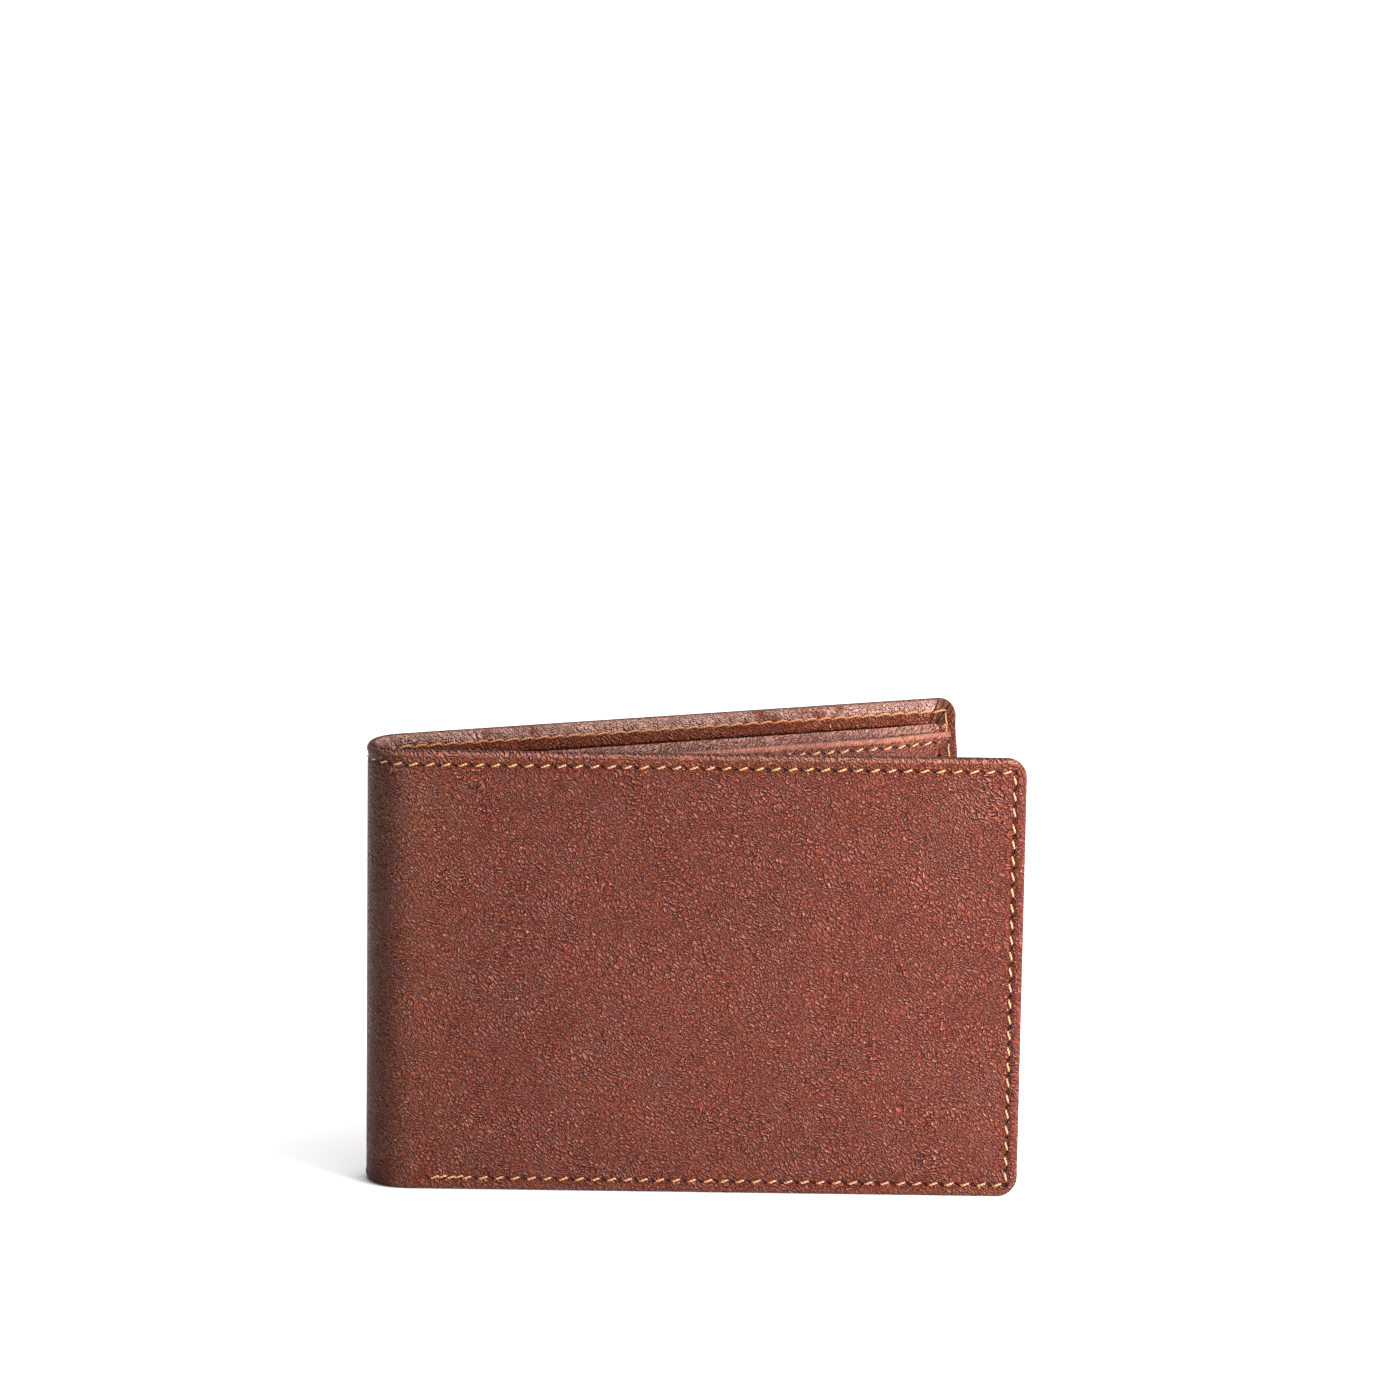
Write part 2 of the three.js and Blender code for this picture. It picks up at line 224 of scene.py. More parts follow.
class Nodes:
    """Builds a node material, with numbers and sockets combined by ordinary arithmetic."""

    def __init__(self, name):
        self.material = bpy.data.materials.new(name)
        self.material.use_nodes = True
        self.tree = self.material.node_tree
        self.shader = self.tree.nodes["Principled BSDF"]

    def math(self, operation, *values):
        node = self.tree.nodes.new("ShaderNodeMath")
        node.operation = operation
        for socket, value in zip(node.inputs, values):
            self.feed(socket, value)
        return Value(self, node.outputs[0])

    def feed(self, socket, value):
        if isinstance(value, Value):
            self.tree.links.new(value.socket, socket)
        elif isinstance(value, bpy.types.NodeSocket):
            self.tree.links.new(value, socket)
        else:
            socket.default_value = value

    def flat_position(self):
        """The leather's own flat coordinates in millimetres, as u, v and a vector."""
        uv = self.tree.nodes.new("ShaderNodeUVMap")
        uv.uv_map = "flat"
        scale = self.tree.nodes.new("ShaderNodeVectorMath")
        scale.operation = "SCALE"
        scale.inputs["Scale"].default_value = 1000
        self.tree.links.new(uv.outputs[0], scale.inputs[0])
        split = self.tree.nodes.new("ShaderNodeSeparateXYZ")
        self.tree.links.new(scale.outputs[0], split.inputs[0])
        return Value(self, split.outputs[0]), Value(self, split.outputs[1]), scale.outputs[0]

    def drawn_out(self, vector, stretch, angle):
        """Coordinates in which a pattern is stretched along a direction, angle from the u axis."""
        node = self.tree.nodes.new("ShaderNodeMapping")
        node.vector_type = "TEXTURE"
        self.feed(node.inputs["Vector"], vector)
        node.inputs["Rotation"].default_value = (0, 0, math.radians(angle))
        node.inputs["Scale"].default_value = (stretch, 1, 1)
        return node.outputs[0]

    def noise(self, vector, scale, detail=2.0, roughness=0.5):
        node = self.tree.nodes.new("ShaderNodeTexNoise")
        self.feed(node.inputs["Vector"], vector)
        node.inputs["Scale"].default_value = scale
        node.inputs["Detail"].default_value = detail
        node.inputs["Roughness"].default_value = roughness
        return Value(self, node.outputs[0]), node.outputs[1]

    def cells(self, vector, scale):
        """Distance to the nearest border between cells."""
        node = self.tree.nodes.new("ShaderNodeTexVoronoi")
        node.feature = "DISTANCE_TO_EDGE"
        self.feed(node.inputs["Vector"], vector)
        node.inputs["Scale"].default_value = scale
        return Value(self, node.outputs["Distance"])

    def warped(self, vector, field, amount):
        """The vector moved by a colour field, which is centred on a half."""
        centred = self.tree.nodes.new("ShaderNodeVectorMath")
        centred.operation = "SUBTRACT"
        self.feed(centred.inputs[0], field)
        centred.inputs[1].default_value = (0.5, 0.5, 0.5)
        move = self.tree.nodes.new("ShaderNodeVectorMath")
        move.operation = "MULTIPLY_ADD"
        self.tree.links.new(centred.outputs[0], move.inputs[0])
        move.inputs[1].default_value = (amount, amount, amount)
        self.feed(move.inputs[2], vector)
        return move.outputs[0]

    def shifted(self, vector, offset):
        node = self.tree.nodes.new("ShaderNodeVectorMath")
        node.operation = "ADD"
        self.feed(node.inputs[0], vector)
        node.inputs[1].default_value = (*offset, 0)
        return node.outputs[0]

    def band(self, value, low, high):
        """0 below low, 1 above high, smooth between."""
        node = self.tree.nodes.new("ShaderNodeMapRange")
        node.interpolation_type = "SMOOTHSTEP"
        self.feed(node.inputs["Value"], value)
        node.inputs["From Min"].default_value = low
        node.inputs["From Max"].default_value = high
        return Value(self, node.outputs[0])

    def strip(self, value, low, full, fading, high):
        """1 from full to fading, 0 outside low and high."""
        return self.band(value, low, full) * (1.0 - self.band(value, fading, high))

    def blend(self, factor, first, second):
        node = self.tree.nodes.new("ShaderNodeMix")
        node.data_type = "RGBA"
        self.feed(node.inputs["Factor"], factor)
        for name, value in (("A", first), ("B", second)):
            socket = [s for s in node.inputs if s.name == name and s.type == "RGBA"][0]
            self.feed(socket, value if isinstance(value, bpy.types.NodeSocket) else (*value, 1))
        return [s for s in node.outputs if s.type == "RGBA"][0]

    def bump(self, height, distance, strength=1.0):
        node = self.tree.nodes.new("ShaderNodeBump")
        node.inputs["Distance"].default_value = distance * MM
        node.inputs["Strength"].default_value = strength
        self.feed(node.inputs["Height"], height)
        self.tree.links.new(node.outputs[0], self.shader.inputs["Normal"])

    def finish(self, color, roughness, specular, **others):
        self.feed(self.shader.inputs["Base Color"], color)
        self.feed(self.shader.inputs["Roughness"], roughness)
        self.shader.inputs["Specular IOR Level"].default_value = specular
        for name, value in others.items():
            self.shader.inputs[name.replace("_", " ")].default_value = value
        return self.material


class Value:
    """A number that comes out of a node."""

    def __init__(self, nodes, socket):
        self.nodes, self.socket = nodes, socket

    def __add__(self, other):
        return self.nodes.math("ADD", self, other)

    def __radd__(self, other):
        return self.nodes.math("ADD", other, self)

    def __sub__(self, other):
        return self.nodes.math("SUBTRACT", self, other)

    def __rsub__(self, other):
        return self.nodes.math("SUBTRACT", other, self)

    def __mul__(self, other):
        return self.nodes.math("MULTIPLY", self, other)

    def __rmul__(self, other):
        return self.nodes.math("MULTIPLY", other, self)

    def __truediv__(self, other):
        return self.nodes.math("DIVIDE", self, other)


# -------------------- sewing lines of the cover

CORNER = 3.5
PLEATS = 5  # pleats round a corner's quarter turn
PANEL_TOP = node_box("front_panel_top_strip")[1][2]
PANEL_START = 3.0
LIP_INSET = 1.8
LIP_PITCH = 2.83
LIP_START = PANEL_START + 1.8
TOP_INSET = 2.4
FORE_INSET = 2.1
LOWER_INSET = 2.2
SEAM_START = 3.0  # where the lower seam begins, from the start of the bend
SEAM_REACH = FOLD / 2 + LENGTH - FORE_INSET  # fore seam, from the middle of the fold
TOP_STITCHES = 81
FORE_STITCHES = 26
LOWER_STITCHES = 36
TOP_PITCH = 2 * SEAM_REACH / TOP_STITCHES
FORE_PITCH = (HEIGHT - TOP_INSET - LOWER_INSET) / FORE_STITCHES
LOWER_PITCH = (SEAM_REACH - FOLD / 2 - SEAM_START) / LOWER_STITCHES
SLIT_SLANT = 27
SLIT_LONG = 0.58  # half length
SLIT_SHORT = 0.26  # half width


def near(n, position, first, pitch):
    """Distance from the nearest hole of a row."""
    steps = (position - first) / pitch
    return (steps - n.math("ROUND", steps)) * pitch


def slit(n, right, up, turned=False):
    """1 in a slit that a slanted needle left, which falls to the right of the seam's direction."""
    slant = math.radians(SLIT_SLANT)
    if turned:
        along = right * math.sin(slant) + up * math.cos(slant)
        across = right * math.cos(slant) - up * math.sin(slant)
    else:
        along = right * math.cos(slant) - up * math.sin(slant)
        across = right * math.sin(slant) + up * math.cos(slant)
    along = along / SLIT_LONG
    across = across / SLIT_SHORT
    return 1.0 - n.band(n.math("SQRT", along * along + across * across), 0.55, 1.15)


def cover_slits(n, u, v):
    """The slits of the seams round the cover's outer face."""
    from_middle = n.math("ABSOLUTE", u - FOLD / 2)
    side = n.math("SIGN", FOLD / 2 - u)
    top = slit(n, near(n, FOLD / 2 - u, SEAM_REACH, TOP_PITCH), v - (HEIGHT - TOP_INSET))
    fore = slit(n, (from_middle - SEAM_REACH) * side, near(n, v, LOWER_INSET, FORE_PITCH), True)
    on_face = n.math("LESS_THAN", n.math("ABSOLUTE", v - HEIGHT / 2), HEIGHT / 2 - LOWER_INSET + 0.6)
    lower = slit(n, near(n, from_middle, SEAM_REACH, LOWER_PITCH) * side, v - LOWER_INSET)
    begun = n.math("GREATER_THAN", from_middle, FOLD / 2 + SEAM_START - 0.6)
    return n.math("MAXIMUM", top, n.math("MAXIMUM", fore * on_face, lower * begun))


def lip_slits(n, u, v):
    """The slits of the seam along the card panel's lip, on its inner face."""
    x = n.math("ABSOLUTE", u - FOLD / 2) - FOLD / 2
    side = n.math("SIGN", u - FOLD / 2)
    return slit(n, near(n, x, LIP_START, LIP_PITCH) * side, v + LIP_INSET)


def pleat_lines(n, u, v):
    """1 in the folds of the leather gathered round the fore corners, and 1 wherever it is gathered."""
    x = n.math("ABSOLUTE", u - FOLD / 2) - FOLD / 2 - (LENGTH - CORNER)
    z = n.math("ABSOLUTE", v - HEIGHT / 2) - (HEIGHT / 2 - CORNER)
    angle = n.math("ARCTAN2", z, x)
    inside = n.math("GREATER_THAN", x, 0.0) * n.math("GREATER_THAN", z, 0.0)
    beyond = n.band(n.math("SQRT", x * x + z * z), CORNER + 1.0, CORNER + 2.2)
    gathered = inside * beyond
    return n.band(n.math("COSINE", angle * PLEATS * 4), 0.1, 0.9) * gathered, gathered


# -------------------- materials

CHESTNUT = (0.120, 0.0160, 0.0050)
CHESTNUT_LIGHT = (0.137, 0.0205, 0.0075)
CHESTNUT_DARK = (0.086, 0.0115, 0.0037)
BURNISHED = (0.150, 0.030, 0.0050)
# Ridge tone: the leather's pull-up colour with a painted highlight on the grain's crests
RIDGE_TONE_AND_HIGHLIGHT = (0.390, 0.155, 0.113)
# Valley tone: darker dye with painted shade in the grain's valleys and creases
VALLEY_DYE_AND_SHADE = (0.020, 0.003, 0.002)
# Painted highlight on rolled and turned edges
TURNED_EDGE_HIGHLIGHT = (0.300, 0.110, 0.075)
EDGE_DARK = (0.040, 0.010, 0.005)
# Painted sheen on the inner hem strip
PAINTED_SHEEN = (0.42, 0.235, 0.19)
# Painted shade on the spine
SPINE_SHADE = (0.048, 0.005, 0.001)
# Painted shade in the corner pleats
PLEAT_SHADE = (0.030, 0.008, 0.004)
# Painted shade in the needle slits
SLIT_SHADE = (0.012, 0.004, 0.003)
GRAIN_DEPTH = 0.32
PEBBLE_STRETCH = 1.5
PEBBLE_SCALE = 1.75
CREASE_STRETCH = 2.2
CREASE_SCALE = 1.8
CREASE_ANGLE = 32
CREASE_SHADE = (-0.14, 0.14)  # a crease's shaded side lies away from here


def crease_lines(n, vector):
    """1 along the hide's creases."""
    return 1.0 - n.band(n.cells(n.drawn_out(vector, CREASE_STRETCH, CREASE_ANGLE), CREASE_SCALE), 0.02, 0.17)


def leather(name, base, light, dark, sewn=False, grain=1.0, slits=None, turned_edge_highlight=True):
    """Calf grain: small pebbles, and creases that each have a lit side and a shaded side, both painted into
    the colour as well as the relief, under cloudy dye. The ridges are painted lighter, partly the
    leather's own pull-up tone and partly a painted highlight, and the valleys darker, partly darker dye
    and partly painted shade. The flat coordinates are in millimetres."""
    n = Nodes(name)
    u, v, flat = n.flat_position()
    _, drift = n.noise(flat, 0.11, 3.0)
    bent = n.warped(flat, drift, 5.0)
    _, jitter = n.noise(flat, 0.9, 2.0)
    bent = n.warped(bent, jitter, 0.5)
    pebbles = n.band(n.cells(n.drawn_out(bent, PEBBLE_STRETCH, 34), PEBBLE_SCALE), 0.0, 0.34)
    broken, _ = n.noise(bent, 0.55, 2.0, 0.6)
    shown = 0.3 + 0.7 * n.band(broken, 0.28, 0.54)
    # The creases raise the relief and so get the painted highlight of the crests; a copy of each crease, set
    # off away from the light, lowers the relief there and so gets painted shade.
    creases = crease_lines(n, bent) * shown
    shade = crease_lines(n, n.shifted(bent, CREASE_SHADE)) * shown
    finer, _ = n.noise(n.drawn_out(bent, 1.5, 35), 1.9, 1.5, 0.5)
    patches, _ = n.noise(flat, 0.07, 3.0, 0.55)
    clouds, _ = n.noise(flat, 0.022, 2.0, 0.5)
    coarse = n.band(patches, 0.38, 0.66) * 0.5
    if sewn:
        reach = n.math("ABSOLUTE", u - FOLD / 2)
        near_fold = 1.0 - n.band(reach, FOLD * 0.3, FOLD * 0.5 + 15)
        far = (reach - (FOLD / 2 + LENGTH - 10)) / 1.5
        low = v - (HEIGHT - 8)
        creased = 1.0 - n.band(n.math("SQRT", far * far + low * low), 1.5, 8.0)
        near_top = near_fold * n.band(v, HEIGHT - 26, HEIGHT - 4)
        coarse = n.math("MAXIMUM", coarse, n.math("MAXIMUM", creased, near_top))

    height = 0.25 + pebbles * 0.40 + creases * (0.50 + 0.40 * coarse) - shade * (0.60 + 0.25 * coarse)
    tone = n.blend(n.band(clouds, 0.38, 0.66) * 0.8, base, light)
    tone = n.blend(n.band(patches, 0.45, 0.75) * 0.30, tone, dark)
    if sewn:
        top_band = n.band(v, HEIGHT - 3.6, HEIGHT - 1.9)
        low_band = 1.0 - n.band(v, 0.5, 5.5)
        worn_edges = n.math("MAXIMUM", top_band * 0.85, low_band * 0.5)
        worn = n.math("MAXIMUM", near_fold * 0.85, worn_edges) + near_top * 0.4
        tone = n.blend(worn * n.band(finer + patches, 0.70, 1.20), tone, BURNISHED)
        # Painted shade: the spine, which faces away from the key light, is painted darker towards the middle
        # of the fold and gets less of the crests' painted highlight.
        spine = 1.0 - n.band(reach, FOLD * 0.15, FOLD * 0.5 + 5)
        tone = n.blend(spine * 0.45, tone, SPINE_SHADE)
        # Painted highlight: a thin lighter line on the rolled top edge, just below its crest.
        lit = n.strip(v, HEIGHT - 1.05, HEIGHT - 0.70, HEIGHT - 0.35, HEIGHT - 0.20)
        tone = n.blend(lit * 0.75, tone, TURNED_EDGE_HIGHLIGHT)
        edge = n.strip(v, HEIGHT - 0.30, HEIGHT - 0.10, HEIGHT + 0.7, HEIGHT + 1.2)
        tone = n.blend(edge * 0.75, tone, EDGE_DARK)
        # Painted sheen: a whitish reflection painted in patches on the hem strip between the top edge and
        # its stitches.
        painted_sheen_band = n.strip(v, HEIGHT + 1.2, HEIGHT + 2.2, HEIGHT + 3.6, HEIGHT + 4.6)
        tone = n.blend(painted_sheen_band * n.band(patches + broken, 0.68, 1.05), tone, PAINTED_SHEEN)
    # Low places of the relief, the grain's valleys and the crease copies set off from the light, are painted
    # dark: partly darker dye in the valleys and partly painted shade, more of it where the grain is coarse.
    deep = 1.0 - n.band(height, 0.05, 0.42)
    tone = n.blend(deep * (0.80 + 0.15 * coarse), tone, VALLEY_DYE_AND_SHADE)
    # High places of the relief, the pebbles' tops and the creases, are painted lighter: partly the leather's
    # pull-up tone and partly a painted highlight, less of it on the spine.
    crest_highlight = n.band(height, 0.70, 1.12)
    tone = n.blend(crest_highlight * (0.66 - 0.30 * spine) if sewn else crest_highlight * 0.66, tone, RIDGE_TONE_AND_HIGHLIGHT)
    if sewn:
        pleats, gathered = pleat_lines(n, u, v)
        tone = n.blend(gathered * 0.7, tone, BURNISHED)
        # Painted shade in the folds of the pleats gathered round the fore corners.
        tone = n.blend(pleats * 0.7, tone, PLEAT_SHADE)
        height = height - pleats * 1.5
    elif turned_edge_highlight:
        # Painted highlight on the rounded top edge of a pocket's turned border.
        turned = n.strip(v, -1.05, -0.70, 1.0, 1.6)
        tone = n.blend(turned * 0.85, tone, TURNED_EDGE_HIGHLIGHT)
    if slits is not None:
        holes = slits(n, u, v)
        # Painted shade in the needle slits.
        tone = n.blend(holes * 0.92, tone, SLIT_SHADE)
        height = height - holes * 1.5
    rough = 0.31 + 0.26 * deep
    n.bump(height, GRAIN_DEPTH * grain)
    return n.finish(tone, rough, 0.20)


def cloth(name, base, dark):
    """Fine twill lining: diagonal ribs crossed by the weft."""
    n = Nodes(name)
    u, v, flat = n.flat_position()
    rib = n.math("SINE", (u + v) * (math.tau / 0.75))
    weft = n.math("SINE", (u - v) * (math.tau / 0.42))
    height = rib * 0.6 + weft * 0.25
    patches, _ = n.noise(flat, 0.06, 3.0)
    fuzz, _ = n.noise(flat, 4.0, 2.0)
    # Painted shade in the grooves between the twill's ribs, broken up by random fuzz; the patches below are
    # random tone.
    tone = n.blend(n.band(rib + fuzz, -0.6, 1.4), dark, base)
    tone = n.blend(n.band(patches, 0.4, 0.7) * 0.35, tone, dark)
    n.bump(height, 0.05, 0.8)
    return n.finish(tone, 0.82, 0.25, Sheen_Weight=0.25, Sheen_Roughness=0.5)


def thread(name, base, shade):
    """Waxed two-ply thread: the plies wind round it, so the twist shows as slanting bands, with painted
    shade in the grooves between the plies.
    """
    n = Nodes(name)
    u, v, flat = n.flat_position()
    twist = n.math("SINE", u * (math.tau / 0.55) + v * math.tau)
    fibre, _ = n.noise(flat, 3.0, 2.0)
    tone = n.blend(n.band(twist + fibre, -0.5, 1.2), shade, base)
    n.bump(twist * 0.5 + fibre * 0.4, 0.05, 0.9)
    return n.finish(tone, 0.55, 0.35)


COVER_LEATHER = leather(
    "cover_leather", CHESTNUT, CHESTNUT_LIGHT, CHESTNUT_DARK, sewn=True, slits=cover_slits
)
POCKET_TONES = (0.150, 0.034, 0.017), (0.185, 0.050, 0.028), (0.105, 0.023, 0.012)
POCKET_LEATHER = leather("pocket_leather", *POCKET_TONES, grain=0.8)
LIP_LEATHER = leather("lip_leather", *POCKET_TONES, grain=0.8, slits=lip_slits)
DIVIDER_TONES = (0.255, 0.110, 0.085), (0.320, 0.155, 0.125), (0.170, 0.070, 0.053)
DIVIDER_LEATHER = leather("divider_leather", *DIVIDER_TONES, grain=0.7, turned_edge_highlight=False)
LINING = cloth("lining_cloth", (0.150, 0.080, 0.055), (0.075, 0.036, 0.025))
OUTER_THREAD = thread("outer_thread", (0.52, 0.275, 0.145), (0.28, 0.12, 0.05))
INNER_THREAD = thread("inner_thread", (0.44, 0.185, 0.07), (0.24, 0.085, 0.03))

# -------------------- mesh building blocks

SHARP_ANGLE = math.radians(48)


def make_object(name, points, faces, uvs, material):
    """A closed mesh from points in millimetres; uvs gives one flat position for each face corner."""
    triangles = np.array([(f[0], a, b) for f in faces for a, b in zip(f[1:-1], f[2:])])
    first, second, third = (points[triangles[:, i]] for i in range(3))
    if np.sum(first * np.cross(second, third)) < 0:
        faces = [tuple(reversed(f)) for f in faces]
        uvs = [tuple(reversed(t)) for t in uvs]
    mesh = bpy.data.meshes.new(name)
    mesh.from_pydata((points * MM).tolist(), [], [tuple(int(i) for i in f) for f in faces])
    layer = mesh.uv_layers.new(name="flat")
    values = np.array([c for t in uvs for c in t], float) * MM
    layer.data.foreach_set("uv", values.ravel())
    mesh.polygons.foreach_set("use_smooth", [True] * len(mesh.polygons))
    mesh.set_sharp_from_angle(angle=SHARP_ANGLE)
    mesh.materials.append(material)
    mesh.update()
    made = bpy.data.objects.new(name, mesh)
    bpy.context.scene.collection.objects.link(made)
    return made


def loft(name, loops, flats, material):
    """A closed tube of loops with flat ends. loops is (rings, around, 3); flats gives their flat
    positions, with one more around, where the last repeats the loop's first point."""
    rings, around = loops.shape[:2]
    points = loops.reshape(-1, 3)
    faces, uvs = [], []
    for i in range(rings - 1):
        for j in range(around):
            k = (j + 1) % around
            faces.append((i * around + j, i * around + k, (i + 1) * around + k, (i + 1) * around + j))
            uvs.append((flats[i, j], flats[i, j + 1], flats[i + 1, j + 1], flats[i + 1, j]))
    faces.append(tuple(range(around))[::-1])
    uvs.append(tuple(flats[0, j] for j in range(around))[::-1])
    last = (rings - 1) * around
    faces.append(tuple(last + j for j in range(around)))
    uvs.append(tuple(flats[-1, j] for j in range(around)))
    return make_object(name, points, faces, uvs, material)


# -------------------- the cover's shape

COVER_THICKNESS = 1.0
ROLL = 0.95  # radius of the turned edge
HEM_TOP = 4.5
HEM_FORE = 4.0
HEM_LOWER = 4.0
HEM_THIN = 2.05  # depth of a hem that is turned over the cover alone
HEM_FULL = 4.5  # depth of a hem that is turned over the whole card panel
HEM_CORNER = 0.5
ARC_STEPS = 40
COVER_FOLD_COLUMNS = 15


def edge_distance(x, z):
    """Distance from a point of a half to the nearest turned edge, rounded at the fore corners."""
    to_fore = LENGTH - x
    to_end = np.minimum(z, HEIGHT - z)
    across = CORNER - to_fore
    along = CORNER - to_end
    rounded = CORNER - np.hypot(np.maximum(across, 0), np.maximum(along, 0))
    return np.where((across > 0) & (along > 0), rounded, np.minimum(to_fore, to_end))


def outer_depth(side, x, z):
    """Depth of the cover's outer face: rolled at the edges, pulled in at the seams, softly uneven."""
    x, z = np.broadcast_arrays(np.asarray(x, float), np.asarray(z, float))
    e = np.maximum(edge_distance(x, z), 0)
    inner = np.clip(ROLL - e, 0, ROLL)
    rolled = ROLL - np.sqrt(np.maximum(ROLL * ROLL - inner * inner, 0))
    inset = np.where(z > HEIGHT / 2, TOP_INSET, LOWER_INSET)
    end = np.minimum(z, HEIGHT - z)
    valley = np.exp(-(((end - inset) / 0.55) ** 2))
    sewn_here = np.where(z > HEIGHT / 2, 1.0, smooth((x - SEAM_START + 1.5) / 2))
    fore_valley = np.exp(-(((LENGTH - FORE_INSET - x) / 0.55) ** 2))
    valley = np.maximum(valley * sewn_here, fore_valley) * smooth((e - 0.8) / 1.0)
    pull = np.cos(math.tau * (SEAM_REACH - FOLD / 2 - x) / TOP_PITCH)
    valley = valley * (1 + 0.30 * pull * (x < LENGTH - FORE_INSET - 1))
    swell = 0.10 * np.exp(-(((e - 1.15) / 0.55) ** 2))
    fade = smooth((e - 4) / 10) * smooth(x / 12)
    waves = np.sin(x * 0.083 + z * 0.051 + side) * 0.5 + np.sin(z * 0.117 - x * 0.037 + 2 * side) * 0.5
    return rolled + 0.20 * valley - swell + 0.10 * waves * fade


def row_heights():
    """Heights of the rows of points: close together at the edges and seams."""
    edge = [0, 0.05, 0.14, 0.27, 0.44, 0.65, 0.9, 1.2, 1.5, 1.75, 2.0, 2.2, 2.4, 2.6, 2.85, 3.2, 3.7, 4.3]
    middle = list(np.linspace(5, HEIGHT - 5, 76))
    return np.array(edge + middle + [HEIGHT - e for e in reversed(edge)])


def column_places():
    """Places of the columns of points from the bend to the fore edge, the last ones as arc steps."""
    straight = np.linspace(0, LENGTH - CORNER, 172)
    arc = LENGTH - CORNER + CORNER * np.sin(np.linspace(0, math.pi / 2, ARC_STEPS + 1)[1:])
    return np.concatenate([straight, arc])


def hem_rows(width, depth):
    """(distance in from the edge, depth) of the turned leather, from the edge to where it ends."""
    reach = np.minimum(1.0, 0.45 + 0.22 * depth)
    rows = []
    for angle in np.linspace(0, math.pi / 2, 9)[1:]:
        rows.append((reach * (1 - math.cos(angle)), ROLL + (depth - ROLL) * math.sin(angle)))
    for share in np.linspace(0, 1, 10)[1:]:
        w = reach + (width - 0.35 - reach) * share
        rows.append((w, depth - 0.16 * np.exp(-(((w - TOP_INSET) / 0.5) ** 2))))
    rows.append((width - 0.12, depth - 0.07))
    rows.append((width, depth - 0.28))
    rows.append((width, depth - 0.62))
    return rows


def hem_depth(x, z):
    """Depth of the hem's grain side: thin along the top, full where it wraps the card panel."""
    x, z = np.broadcast_arrays(np.asarray(x, float), np.asarray(z, float))
    over_panel = 1 - smooth((z - (PANEL_TOP - 5)) / 6.5)
    steps = 0.72 + 0.28 * (1 - smooth((z - 40) / 18))
    fore = HEM_THIN + (HEM_FULL - HEM_THIN) * over_panel * steps
    lower = HEM_THIN + (HEM_FULL - HEM_THIN) * smooth((x - 0.5) / 4.5)
    return np.where(z > HEIGHT / 2, np.where(x > LENGTH - CORNER - 1e-6, fore, HEM_THIN),
                    np.minimum(fore, lower))


def cover_section():
    """The cover's section across the fold, as a loop of (depth, height, flat height)."""
    z = row_heights()
    loop = [(d, h, h) for d, h in zip(outer_depth(1, 0.0, z), z)]
    for w, d in hem_rows(HEM_TOP, HEM_THIN):
        loop.append((d, HEIGHT - w, HEIGHT + w + d))
    loop.append((COVER_THICKNESS, HEIGHT - HEM_TOP, HEIGHT + 8))
    loop.append((COVER_THICKNESS, HEM_LOWER, -8))
    for w, d in reversed(hem_rows(HEM_LOWER, HEM_THIN)):
        loop.append((d, w, -w - d))
    return np.array(loop)


def cover_fold(index):
    """One stretch of the cover round the fold, in its rest shape."""
    section = cover_section()
    us = np.linspace(index * ZONE, (index + 1) * ZONE, COVER_FOLD_COLUMNS)
    loops = np.stack([place(u, section[:, 0], section[:, 1]) for u in us])
    flats = np.zeros((COVER_FOLD_COLUMNS, len(section) + 1, 2))
    flats[:, :, 0] = us[:, None]
    flats[:, :-1, 1] = section[:, 2]
    flats[:, -1, 1] = section[-1, 2] + 0.3
    return loft(f"fold_cover_{index + 1}", loops, flats, COVER_LEATHER)


